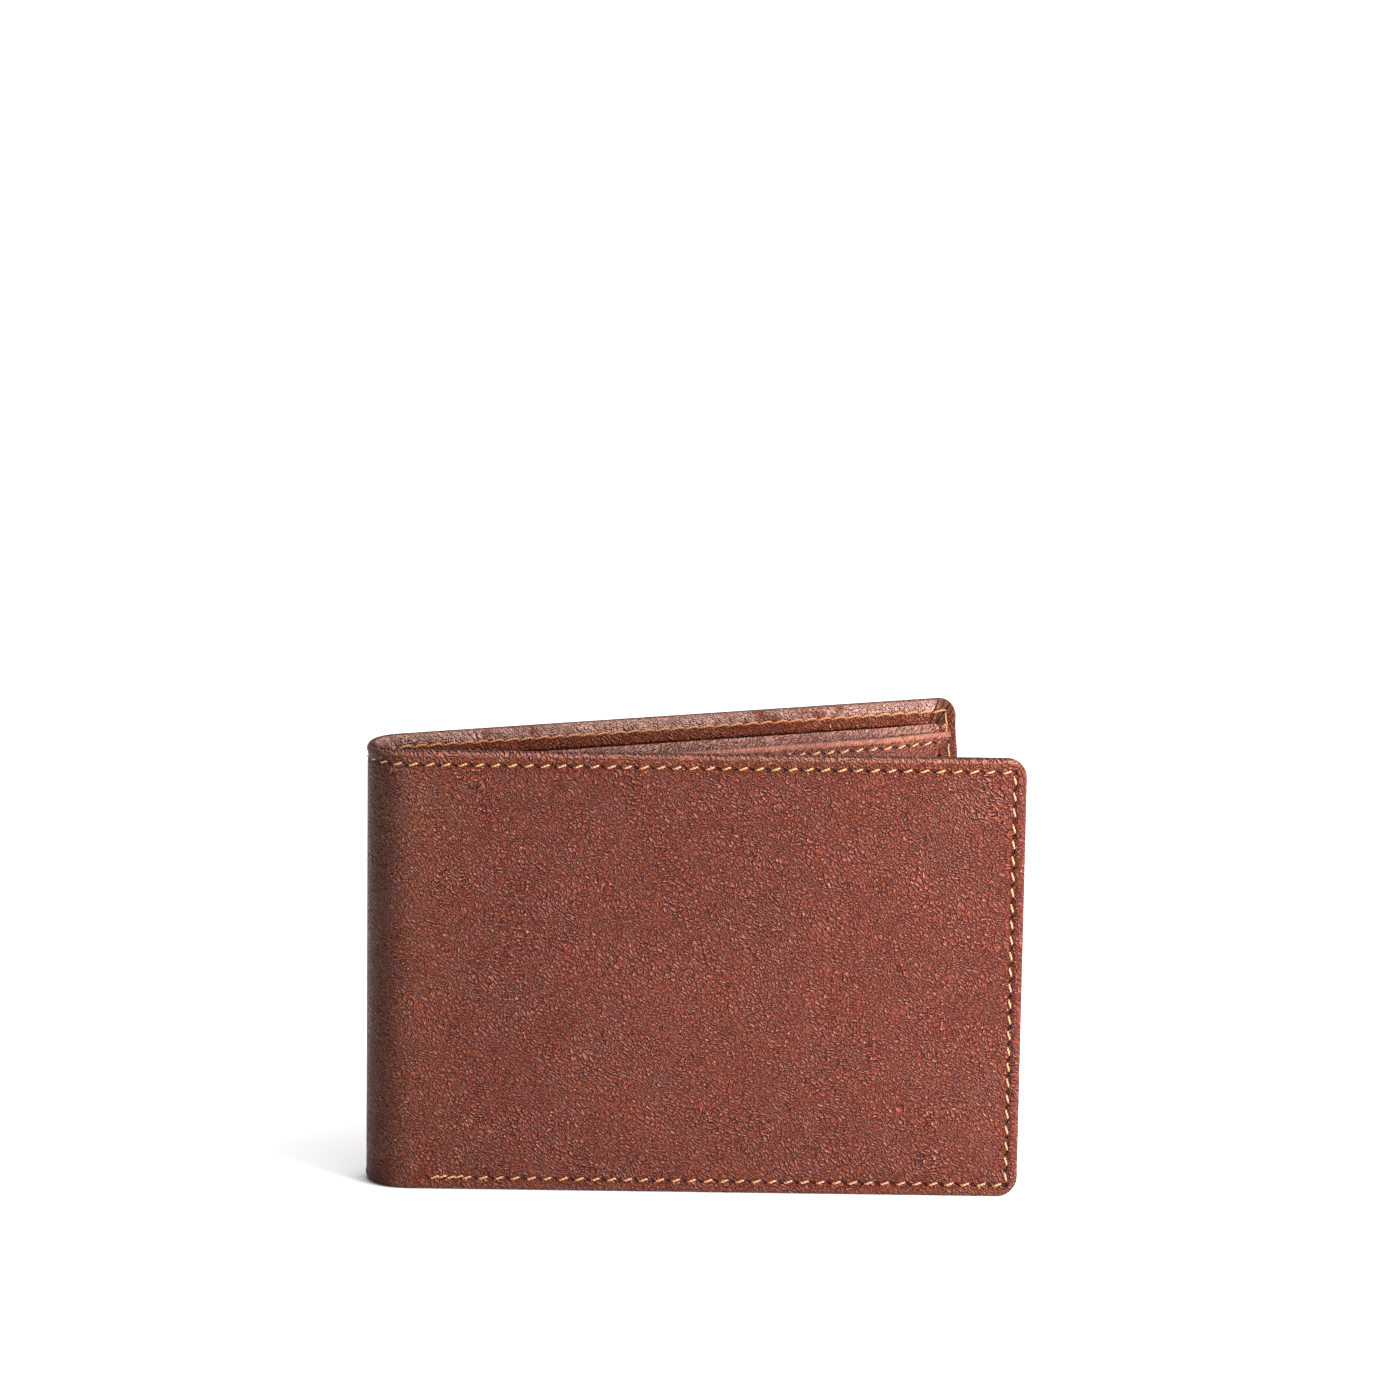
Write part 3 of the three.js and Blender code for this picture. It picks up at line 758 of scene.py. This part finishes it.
def cover_half(name, side):
    """The cover of one half with its turned edges, one piece of leather, rounded and pleated at
    the fore corners."""
    xs = column_places()
    heights = row_heights()
    share = heights / HEIGHT
    over = np.maximum(xs - (LENGTH - CORNER), 0)
    cut = CORNER - np.sqrt(np.maximum(CORNER * CORNER - over * over, 0))
    grid_z = cut[:, None] + (HEIGHT - 2 * cut[:, None]) * share[None, :]
    grid_x = np.repeat(xs[:, None], len(heights), 1)
    grid_d = outer_depth(side, grid_x, grid_z)
    columns, rows = grid_x.shape
    points = [place(half_u(side, grid_x), grid_d, grid_z).reshape(-1, 3)]
    flat = [np.stack([half_u(side, grid_x), grid_z], -1).reshape(-1, 2)]
    index = np.arange(columns * rows).reshape(columns, rows)
    faces = []
    for i in range(columns - 1):
        for j in range(rows - 1):
            faces.append((index[i, j], index[i + 1, j], index[i + 1, j + 1], index[i, j + 1]))

    rim = [(i, rows - 1) for i in range(columns)]
    rim += [(columns - 1, j) for j in range(rows - 2, -1, -1)]
    rim += [(i, 0) for i in range(columns - 2, -1, -1)]
    rim_index = np.array([index[i, j] for i, j in rim])
    outline = np.array([(grid_x[i, j], grid_z[i, j]) for i, j in rim])
    inner = np.zeros_like(outline)
    for k, (x, z) in enumerate(outline):
        upper = z > HEIGHT / 2
        width = HEM_TOP if upper else HEM_LOWER
        base = (LENGTH - HEM_FORE - HEM_CORNER, width + HEM_CORNER)
        mirrored = HEIGHT - z if upper else z
        if x <= LENGTH - CORNER:
            squeeze = (LENGTH - CORNER - base[0]) * smooth((x - (LENGTH - 14)) / (14 - CORNER))
            px, pz = x - squeeze, width
        elif mirrored >= CORNER - 1e-9:
            push = (base[1] - CORNER) * (1 - smooth((mirrored - CORNER) / 10))
            px, pz = LENGTH - HEM_FORE, mirrored + push
        else:
            angle = math.atan2(x - (LENGTH - CORNER), CORNER - mirrored)
            px = base[0] + HEM_CORNER * math.sin(angle)
            pz = base[1] - HEM_CORNER * math.cos(angle)
        inner[k] = (px, HEIGHT - pz if upper else pz)

    count = len(rim)
    depth = hem_depth(outline[:, 0], outline[:, 1])
    span = inner - outline
    length = np.hypot(span[:, 0], span[:, 1])
    direction = span / length[:, None]
    corner_x = np.maximum(outline[:, 0] - (LENGTH - CORNER), 0)
    corner_z = np.maximum(CORNER - np.minimum(outline[:, 1], HEIGHT - outline[:, 1]), 0)
    corner_angle = np.arctan2(corner_x, corner_z + 1e-9)
    in_corner = (corner_x > 1e-9) & (corner_z > 1e-9)
    pleat = np.where(in_corner, -np.cos(corner_angle * PLEATS * 4) * np.sin(2 * corner_angle), 0)

    previous = rim_index
    total = columns * rows
    ring_indices = []
    pull = np.cos(math.tau * (SEAM_REACH - FOLD / 2 - outline[:, 0]) / TOP_PITCH) * ~in_corner
    pull = pull * smooth(outline[:, 0] / 3)
    rows_in = []
    for w, d in hem_rows(length, depth):
        gathered = 0.22 * pleat * smooth((w - 0.5) / 1.2)
        dimpled = 0.11 * pull * np.exp(-(((w - TOP_INSET + 0.5) / 0.8) ** 2))
        rows_in.append((w, d + gathered - dimpled))
    rows_in.append((length, np.full(count, COVER_THICKNESS)))
    for w, d in rows_in:
        ring = np.column_stack([outline + direction * w[:, None], d])
        points.append(place(half_u(side, ring[:, 0]), ring[:, 2], ring[:, 1]))
        lift = np.minimum(ring[:, 2], 3.0)
        travelled = np.hypot(*(ring[:, :2] - outline).T) + lift
        turned = outline - direction * travelled[:, None]
        flat.append(np.stack([half_u(side, turned[:, 0]), turned[:, 1]], -1))
        current = total + np.arange(count)
        for k in range(count - 1):
            faces.append((previous[k], previous[k + 1], current[k + 1], current[k]))
        ring_indices.append(current)
        previous = current
        total += count
    faces.append(tuple(previous[::-1]))
    fold_end = [index[0, j] for j in range(rows)]
    fold_end += [ring[0] for ring in ring_indices]
    fold_end += [ring[-1] for ring in reversed(ring_indices)]
    faces.append(tuple(fold_end))
    points = np.concatenate(points)
    flat = np.concatenate(flat)
    uvs = [tuple(map(tuple, flat[list(f)])) for f in faces]
    return make_object(f"{name}_cover_leather", points, faces, uvs, COVER_LEATHER)


# -------------------- inner layers

SHEET_COLUMNS = 70
FOLD_SHEET_COLUMNS = 9
TIP = 0.5  # half height of a sheet's rounded top edge
CLOTH_THICKNESS = 0.22
DIVIDER_THICKNESS = 0.4
PANEL_BULGE = 1.1
DIVIDER_BULGE = 0.35


def squeezed(x, z, spine):
    """Share of its full spacing that the stack of layers keeps: less near the sewn edges."""
    x, z = np.broadcast_arrays(np.asarray(x, float), np.asarray(z, float))
    near_fore = smooth((x - (LENGTH - 15)) / 11)
    near_foot = smooth((13 - z) / 10)
    near_spine = 0.55 * smooth((9 - x) / 7) if spine else 0 * x
    return 1 - 0.46 * np.maximum(np.maximum(near_fore, near_foot), near_spine)


def layer_depth(depth, x, z, bulge=0.0, spine=False):
    """Inner face of a layer whose full depth is given."""
    opened = bulge * np.sin(np.clip(x / LENGTH, 0, 1) * math.pi) ** 0.8 * smooth(z / HEIGHT) ** 2
    return COVER_THICKNESS + (depth - COVER_THICKNESS) * squeezed(x, z, spine) + opened


def ring_flats(ring, u):
    """Flat positions of a ring of (depth, height, flat height) at u, closed past its last point."""
    return np.stack([np.full(len(ring) + 1, u), np.append(ring[:, 2], ring[-1, 2] - 0.6)], -1)


def slab(name, side, x_range, z_range, face, thickness, material,
         round_ends, edge=None, shift=0):
    """A sheet of one half: face(x, z) is the depth of its inner side. The top edge is rounded, and
    edge(x, z) adds the relief of a turned and creased border. Its flat height is measured from the
    top edge, and shift moves its pattern along."""
    x0, x1 = x_range
    z0, z1 = z_range
    ease = [0, 0.06, 0.16, 0.3, 0.5]
    xs = np.linspace(x0, x1, SHEET_COLUMNS)
    if round_ends[0]:
        xs = np.concatenate([x0 + np.array(ease), np.linspace(x0 + 1.0, x1, SHEET_COLUMNS)])
    if round_ends[1]:
        xs = np.concatenate([xs[xs < x1 - 0.6], x1 - np.array(ease[::-1])])
    fine = [0.5, 0.9, 1.3, 1.8, 2.4, 3.0, 3.6, 4.2]
    count = max(4, int((z1 - z0 - 5.4) / 1.5))
    body = np.linspace(z0 + 0.6, z1 - 4.8, count) if z1 - z0 > 7 else np.linspace(z0 + 0.6, z1 - 4.3, 3)
    zs = np.concatenate([body, z1 - np.array(fine[::-1])])
    arc = np.linspace(0, math.pi, 8)
    loops, flats = [], []
    for x in xs:
        share = 1.0
        for asked, distance in ((round_ends[0], x - x0), (round_ends[1], x1 - x)):
            if asked and distance < 0.5:
                share = min(share, math.sqrt(max(1 - (1 - distance / 0.5) ** 2, 0.0004)))
        half = thickness * share / 2
        middle = face(x, zs) - thickness / 2
        relief = edge(x, z1 - zs) if edge is not None else 0 * zs
        top = face(x, z1 - TIP) - thickness / 2
        top_relief = float(edge(x, np.array([0.3]))[0]) if edge is not None else 0.0
        low = face(x, z0 + 0.6) - thickness / 2
        ring = [(m - half, z, z1 - z + 2) for m, z in zip(middle, zs)]
        for a in arc:
            depth = top - half * math.cos(a) + top_relief * (1 - math.cos(a)) / 2
            ring.append((depth, z1 - TIP + TIP * math.sin(a), (math.pi - a) * 0.3))
        ring += [(m + half + r, z, z - z1) for m, z, r in zip(middle[::-1], zs[::-1], relief[::-1])]
        ring.append((low, z0, z0 - z1))
        ring = np.array(ring)
        u = half_u(side, x)
        loops.append(place(u, ring[:, 0], ring[:, 1]))
        flats.append(ring_flats(ring, u + shift))
    return loft(name, np.array(loops), np.array(flats), material)


def fold_layer(name, index, z_range, depth, thickness, material):
    """A stretch of an inner layer round the fold."""
    z0, z1 = z_range
    zs = np.concatenate([[z0], np.linspace(z0 + 0.6, z1 - TIP, 24)])
    us = np.linspace(index * ZONE, (index + 1) * ZONE, FOLD_SHEET_COLUMNS)
    arc = np.linspace(0, math.pi, 8)[1:-1]
    half = thickness / 2
    middle = layer_depth(depth, 0.0, np.maximum(zs, z0 + 0.6)) - half
    ring = [(m - half, z, z1 - z + 2) for m, z in zip(middle, zs)]
    for a in arc:
        ring.append((middle[-1] - half * math.cos(a), z1 - TIP + TIP * math.sin(a), (math.pi - a) * 0.3))
    ring += [(m + half, z, z - z1) for m, z in zip(middle[::-1], zs[::-1])]
    ring = np.array(ring)
    loops = np.array([place(u, ring[:, 0], ring[:, 1]) for u in us])
    flats = np.array([ring_flats(ring, u) for u in us])
    return loft(name, loops, flats, material)


def turned_border(x, below):
    """Relief of a pocket's turned edge: double leather to 4 mm, with a creased line near the top."""
    below = np.asarray(below, float)
    double = 0.20 * (1 - smooth((below - 3.6) / 0.5))
    crease = -0.10 * np.exp(-(((below - 1.1) / 0.28) ** 2))
    return double + crease


# -------------------- stitches

THREAD_RADIUS = 0.165
STITCH_RINGS = 11
THREAD_SIDES = 8
HEM_SEAM_DEPTH = HEM_THIN - 0.16  # where the top hem's inner stitches lie


def stitch_mesh(name, stitches, material):
    """Many short tubes as one object. Each stitch is a list of centre points and a surface normal."""
    points, faces, uvs = [], [], []
    base = 0
    for number, (path, normal) in enumerate(stitches):
        rings = len(path)
        tangents = np.gradient(path, axis=0)
        tangents /= np.linalg.norm(tangents, axis=1)[:, None]
        across = np.cross(tangents, normal)
        across /= np.linalg.norm(across, axis=1)[:, None]
        upward = np.cross(across, tangents)
        travelled = np.concatenate([[0], np.cumsum(np.linalg.norm(np.diff(path, axis=0), axis=1))])
        for i in range(rings):
            taper = 0.75 + 0.25 * math.sin(math.pi * i / (rings - 1))
            for s in range(THREAD_SIDES):
                a = math.tau * s / THREAD_SIDES
                offset = across[i] * math.cos(a) * 1.12 + upward[i] * math.sin(a) * 0.88
                points.append(path[i] + offset * THREAD_RADIUS * taper)
        for i in range(rings - 1):
            for s in range(THREAD_SIDES):
                t = (s + 1) % THREAD_SIDES
                faces.append((base + i * THREAD_SIDES + s, base + i * THREAD_SIDES + t,
                              base + (i + 1) * THREAD_SIDES + t, base + (i + 1) * THREAD_SIDES + s))
                a, b = travelled[i] + number * 3.1, travelled[i + 1] + number * 3.1
                lo, hi = s / THREAD_SIDES, (s + 1) / THREAD_SIDES
                uvs.append(((a, lo), (a, hi), (b, hi), (b, lo)))
        first = tuple(base + s for s in range(THREAD_SIDES))
        last = tuple(base + (rings - 1) * THREAD_SIDES + s for s in range(THREAD_SIDES))
        for cap in (first[::-1], last):
            faces.append(cap)
            uvs.append(tuple((travelled[0] + number * 3.1, 0.1 * s) for s in range(THREAD_SIDES)))
        base += rings * THREAD_SIDES
    return make_object(name, np.array(points), faces, uvs, material)


def stitch(position, right, up, length, rise, dive, lean, arch=0.0):
    """One stitch. position(r, n, h) gives the point r along, n across and h above the surface."""
    s = np.linspace(-1, 1, STITCH_RINGS)
    along = s * length / 2
    across = lean * s + 0.05 * np.sin(s * math.pi) + arch * (1 - s * s)
    height = rise - (rise + dive) * np.abs(s) ** 4
    path = position(along * right[0] + across * up[0], along * right[1] + across * up[1], height)
    middle = position(0.0, 0.0, 0.0)
    normal = position(0.0, 0.0, 1.0) - middle
    return path, normal / np.linalg.norm(normal)


def outer_stitch(centre_u, centre_z, direction, length=1.72):
    """A stitch on the cover's outer face; direction is the seam's, as (right, up) seen from outside."""
    def position(r, n, h):
        u = centre_u - r
        z = centre_z + n
        x = np.where(u < 0, -u, np.where(u > FOLD, u - FOLD, 0.0))
        side = 1 if centre_u < FOLD / 2 else -1
        return place(u, outer_depth(side, x, z) - h, z)

    along = np.array(direction, float)
    # The thread leans a little anticlockwise of the seam's own direction
    left = np.array([-along[1], along[0]])
    return stitch(position, along, left, length, rise=0.13, dive=0.34, lean=0.18)


def inner_stitch(centre_u, centre_z, depth, direction, length=2.75, lean=0.12, arch=0.24):
    """A stitch on an inner face at the given depth."""
    def position(r, n, h):
        return place(centre_u + r, depth + h, centre_z + n)

    along = np.array(direction, float)
    left = np.array([-along[1], along[0]])
    dive = 0.12 if arch else 0.30
    return stitch(position, along, left, length, 0.15, dive, lean, arch)


def panel_stitch(side, x, z, full_depth, proud, direction):
    """A stitch on the card panel, proud of the layer whose full depth is given."""
    depth = float(layer_depth(full_depth, x, z, PANEL_BULGE, spine=True)) + proud
    return inner_stitch(half_u(side, x), z, depth, direction, 1.7, 0.2, 0.0)


def top_seam_centres():
    return [SEAM_REACH + FOLD / 2 - (k + 0.5) * TOP_PITCH for k in range(TOP_STITCHES)]


def half_seam_centres(side):
    return [u for u in top_seam_centres() if (u <= 0 if side > 0 else u >= FOLD)]


def outer_seam(name, side):
    """All outer stitches that lie on one half."""
    made = [outer_stitch(u, HEIGHT - TOP_INSET, (1, 0)) for u in half_seam_centres(side)]
    fore_u = half_u(side, LENGTH - FORE_INSET)
    for k in range(FORE_STITCHES):
        made.append(outer_stitch(fore_u, LOWER_INSET + (k + 0.5) * FORE_PITCH, (0, -1)))
    for k in range(LOWER_STITCHES):
        x = SEAM_START + (k + 0.5) * LOWER_PITCH
        made.append(outer_stitch(half_u(side, x), LOWER_INSET, (1, 0)))
    # Two stitches sewn back over the first ones lock the lower seam's end
    for k in range(2):
        x = SEAM_START + (k + 0.95) * LOWER_PITCH
        made.append(outer_stitch(half_u(side, x), LOWER_INSET + 0.12, (1, 0), 1.9))
    return stitch_mesh(f"{name}_outer_stitches", made, OUTER_THREAD)


def inner_seam(name, side):
    """The underside of the seams, where it shows on the hems of one half."""
    made = [inner_stitch(u, HEIGHT - TOP_INSET, HEM_SEAM_DEPTH, (1, 0)) for u in half_seam_centres(side)]
    fore_x = LENGTH - FORE_INSET
    for k in range(FORE_STITCHES):
        z = LOWER_INSET + (k + 0.5) * FORE_PITCH
        depth = float(hem_depth(LENGTH, z)) - 0.13
        made.append(inner_stitch(half_u(side, fore_x), z, depth, (0, 1)))
    for k in range(LOWER_STITCHES):
        x = SEAM_START + (k + 0.5) * LOWER_PITCH
        depth = float(hem_depth(x, 0.0)) - 0.13
        made.append(inner_stitch(half_u(side, x), LOWER_INSET, depth, (1, 0)))
    return stitch_mesh(f"{name}_inner_stitches", made, INNER_THREAD)


# -------------------- putting the halves together

PANEL_PIECES = [
    ("panel_backing", "lining_cloth", LINING, CLOTH_THICKNESS, None),
    ("panel_liner", "lining_cloth", LINING, CLOTH_THICKNESS, None),
    ("panel_top_strip", "pocket_leather", LIP_LEATHER, 0.6, turned_border),
    ("card_slot_1_liner", "lining_cloth", LINING, CLOTH_THICKNESS, None),
    ("card_slot_1", "pocket_leather", POCKET_LEATHER, 0.5, turned_border),
    ("card_slot_2_liner", "lining_cloth", LINING, CLOTH_THICKNESS, None),
    ("card_slot_2", "pocket_leather", POCKET_LEATHER, 0.5, turned_border),
    ("card_pocket", "pocket_leather", POCKET_LEATHER, 0.5, turned_border),
]
INNER_FORE = LENGTH - 1.6
LINING_TOP = node_box("front_cover_lining")[1][2]
DIVIDER_TOP = node_box("front_note_divider")[1][2]
FLOOR_GAP = 1.3


def build_half(name, side):
    body = name
    cover = cover_half(name, side)
    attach(cover, body)
    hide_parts(f"{name}_cover", f"{name}_top_hem", f"{name}_fore_hem", f"{name}_lower_hem")

    lining_depth = depths("front_cover_lining")[1]
    lining = slab(f"{name}_lining_sheet", side, (0, INNER_FORE), (FLOOR_GAP, LINING_TOP),
                  lambda x, z: layer_depth(lining_depth, x, z), CLOTH_THICKNESS, LINING, (False, True))
    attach(lining, body)
    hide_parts(f"{name}_cover_lining")

    divider_depth = depths("front_note_divider")[1]
    divider = slab(f"{name}_divider_sheet", side, (0, INNER_FORE), (FLOOR_GAP, DIVIDER_TOP),
                   lambda x, z: layer_depth(divider_depth, x, z, DIVIDER_BULGE), DIVIDER_THICKNESS,
                   DIVIDER_LEATHER, (False, True))
    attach(divider, body)
    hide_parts(f"{name}_note_divider")

    for number, (part, slot_name, material, thickness, border) in enumerate(PANEL_PIECES):
        node = f"{name}_{part}"
        low, high = node_box(f"front_{part}")
        depth = high[1] - FACE_Y

        def face(x, z, depth=depth):
            return layer_depth(depth, x, z, PANEL_BULGE, spine=True)

        shift = 0 if material is LIP_LEATHER else 300 * (number + 1)
        made = slab(f"{node}_sheet", side, (PANEL_START, INNER_FORE), (low[2], high[2]), face,
                    thickness, material, (True, True), border, shift)
        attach(made, body)
        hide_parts(node)

    outer = outer_seam(name, side)
    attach(outer, body)
    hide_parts(f"{name}_outer_thread")
    inner = inner_seam(name, side)
    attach(inner, body)
    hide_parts(f"{name}_top_inner_thread")

    lip_z = PANEL_TOP - LIP_INSET
    strip_depth = depths("front_panel_top_strip")[1]
    count = int((LENGTH - HEM_FORE - LIP_START) / LIP_PITCH)
    made = []
    for k in range(count):
        x = LIP_START + (k + 0.5) * LIP_PITCH
        made.append(panel_stitch(side, x, lip_z, strip_depth, 0.18, (1, 0)))
    lip = stitch_mesh(f"{name}_lip_stitches", made, OUTER_THREAD)
    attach(lip, body)
    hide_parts(f"{name}_lip_thread")

    pocket_top = node_box("front_card_pocket")[1][2]
    pocket_depth = depths("front_card_pocket")[1]
    made = []
    for k in range(int((pocket_top - 5.5) / LIP_PITCH)):
        z = 5.2 + (k + 0.5) * LIP_PITCH
        made.append(panel_stitch(side, LIP_START, z, pocket_depth, 0.02, (0, 1)))
    pocket = stitch_mesh(f"{name}_pocket_stitches", made, OUTER_THREAD)
    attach(pocket, body)
    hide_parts(f"{name}_pocket_thread")


def blend_over(made, index, depth):
    """Bakes a piece's transform into its mesh. The ends of its stretch at one hinge line are worked out but
    not used, so the piece does not bend.
    """
    start = place(index * ZONE, depth, HEIGHT / 2) * MM
    end = place((index + 1) * ZONE, depth, HEIGHT / 2) * MM
    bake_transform(made)


def build_fold():
    strips = len(HINGES) - 1
    lining_depth = depths("front_cover_lining")[1]
    divider_depth = depths("front_note_divider")[1]
    for index in range(len(HINGES)):
        cover = cover_fold(index)
        blend_over(cover, index, COVER_THICKNESS / 2)
        lining = fold_layer(f"fold_lining_sheet_{index + 1}", index, (FLOOR_GAP, LINING_TOP),
                            lining_depth, CLOTH_THICKNESS, LINING)
        blend_over(lining, index, lining_depth)
        divider = fold_layer(f"fold_divider_sheet_{index + 1}", index, (FLOOR_GAP, DIVIDER_TOP),
                             divider_depth, DIVIDER_THICKNESS, DIVIDER_LEATHER)
        blend_over(divider, index, divider_depth)
        low, high = index * ZONE, (index + 1) * ZONE
        mine = [u for u in top_seam_centres() if max(low, 1e-6) < u <= min(high, FOLD - 1e-6)]
        outside = [outer_stitch(u, HEIGHT - TOP_INSET, (1, 0)) for u in mine]
        inside = [inner_stitch(u, HEIGHT - TOP_INSET, HEM_SEAM_DEPTH, (1, 0), 1.6) for u in mine]
        outer = stitch_mesh(f"fold_outer_stitches_{index + 1}", outside, OUTER_THREAD)
        inner = stitch_mesh(f"fold_inner_stitches_{index + 1}", inside, INNER_THREAD)
        for made in (outer, inner):
            blend_over(made, index, COVER_THICKNESS / 2)
        # Four stretches of leather stand for three strips, so the last one stands for none
        node = index + 1
        if node <= strips:
            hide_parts(f"fold_leather_{node}", f"fold_top_hem_{node}")
            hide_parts(f"fold_lining_{node}")
            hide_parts(f"fold_divider_{node}")
            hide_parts(f"fold_thread_{node}")


def declare_sheet(width, height):
    width * MM
    height * MM


def declare_sheets():
    """The flat size of each sheet of the two halves, handed to declare_sheet, which only works it out in
    metres and keeps nothing. The fold's stretches, which are too narrow to be sheets of their own, are
    not counted in any sheet."""
    for name, stretches in (("front", (1, 2)), ("back", (3, 4))):
        declare_sheet(LENGTH + HEM_FORE, HEIGHT + HEM_TOP + HEM_LOWER)
        declare_sheet(INNER_FORE, LINING_TOP - FLOOR_GAP)
        declare_sheet(INNER_FORE, DIVIDER_TOP - FLOOR_GAP)
        for part, *_ in PANEL_PIECES:
            low, high = node_box(f"front_{part}")
            declare_sheet(INNER_FORE - PANEL_START, high[2] - low[2])


build_half("front", 1)
build_half("back", -1)
build_fold()
declare_sheets()
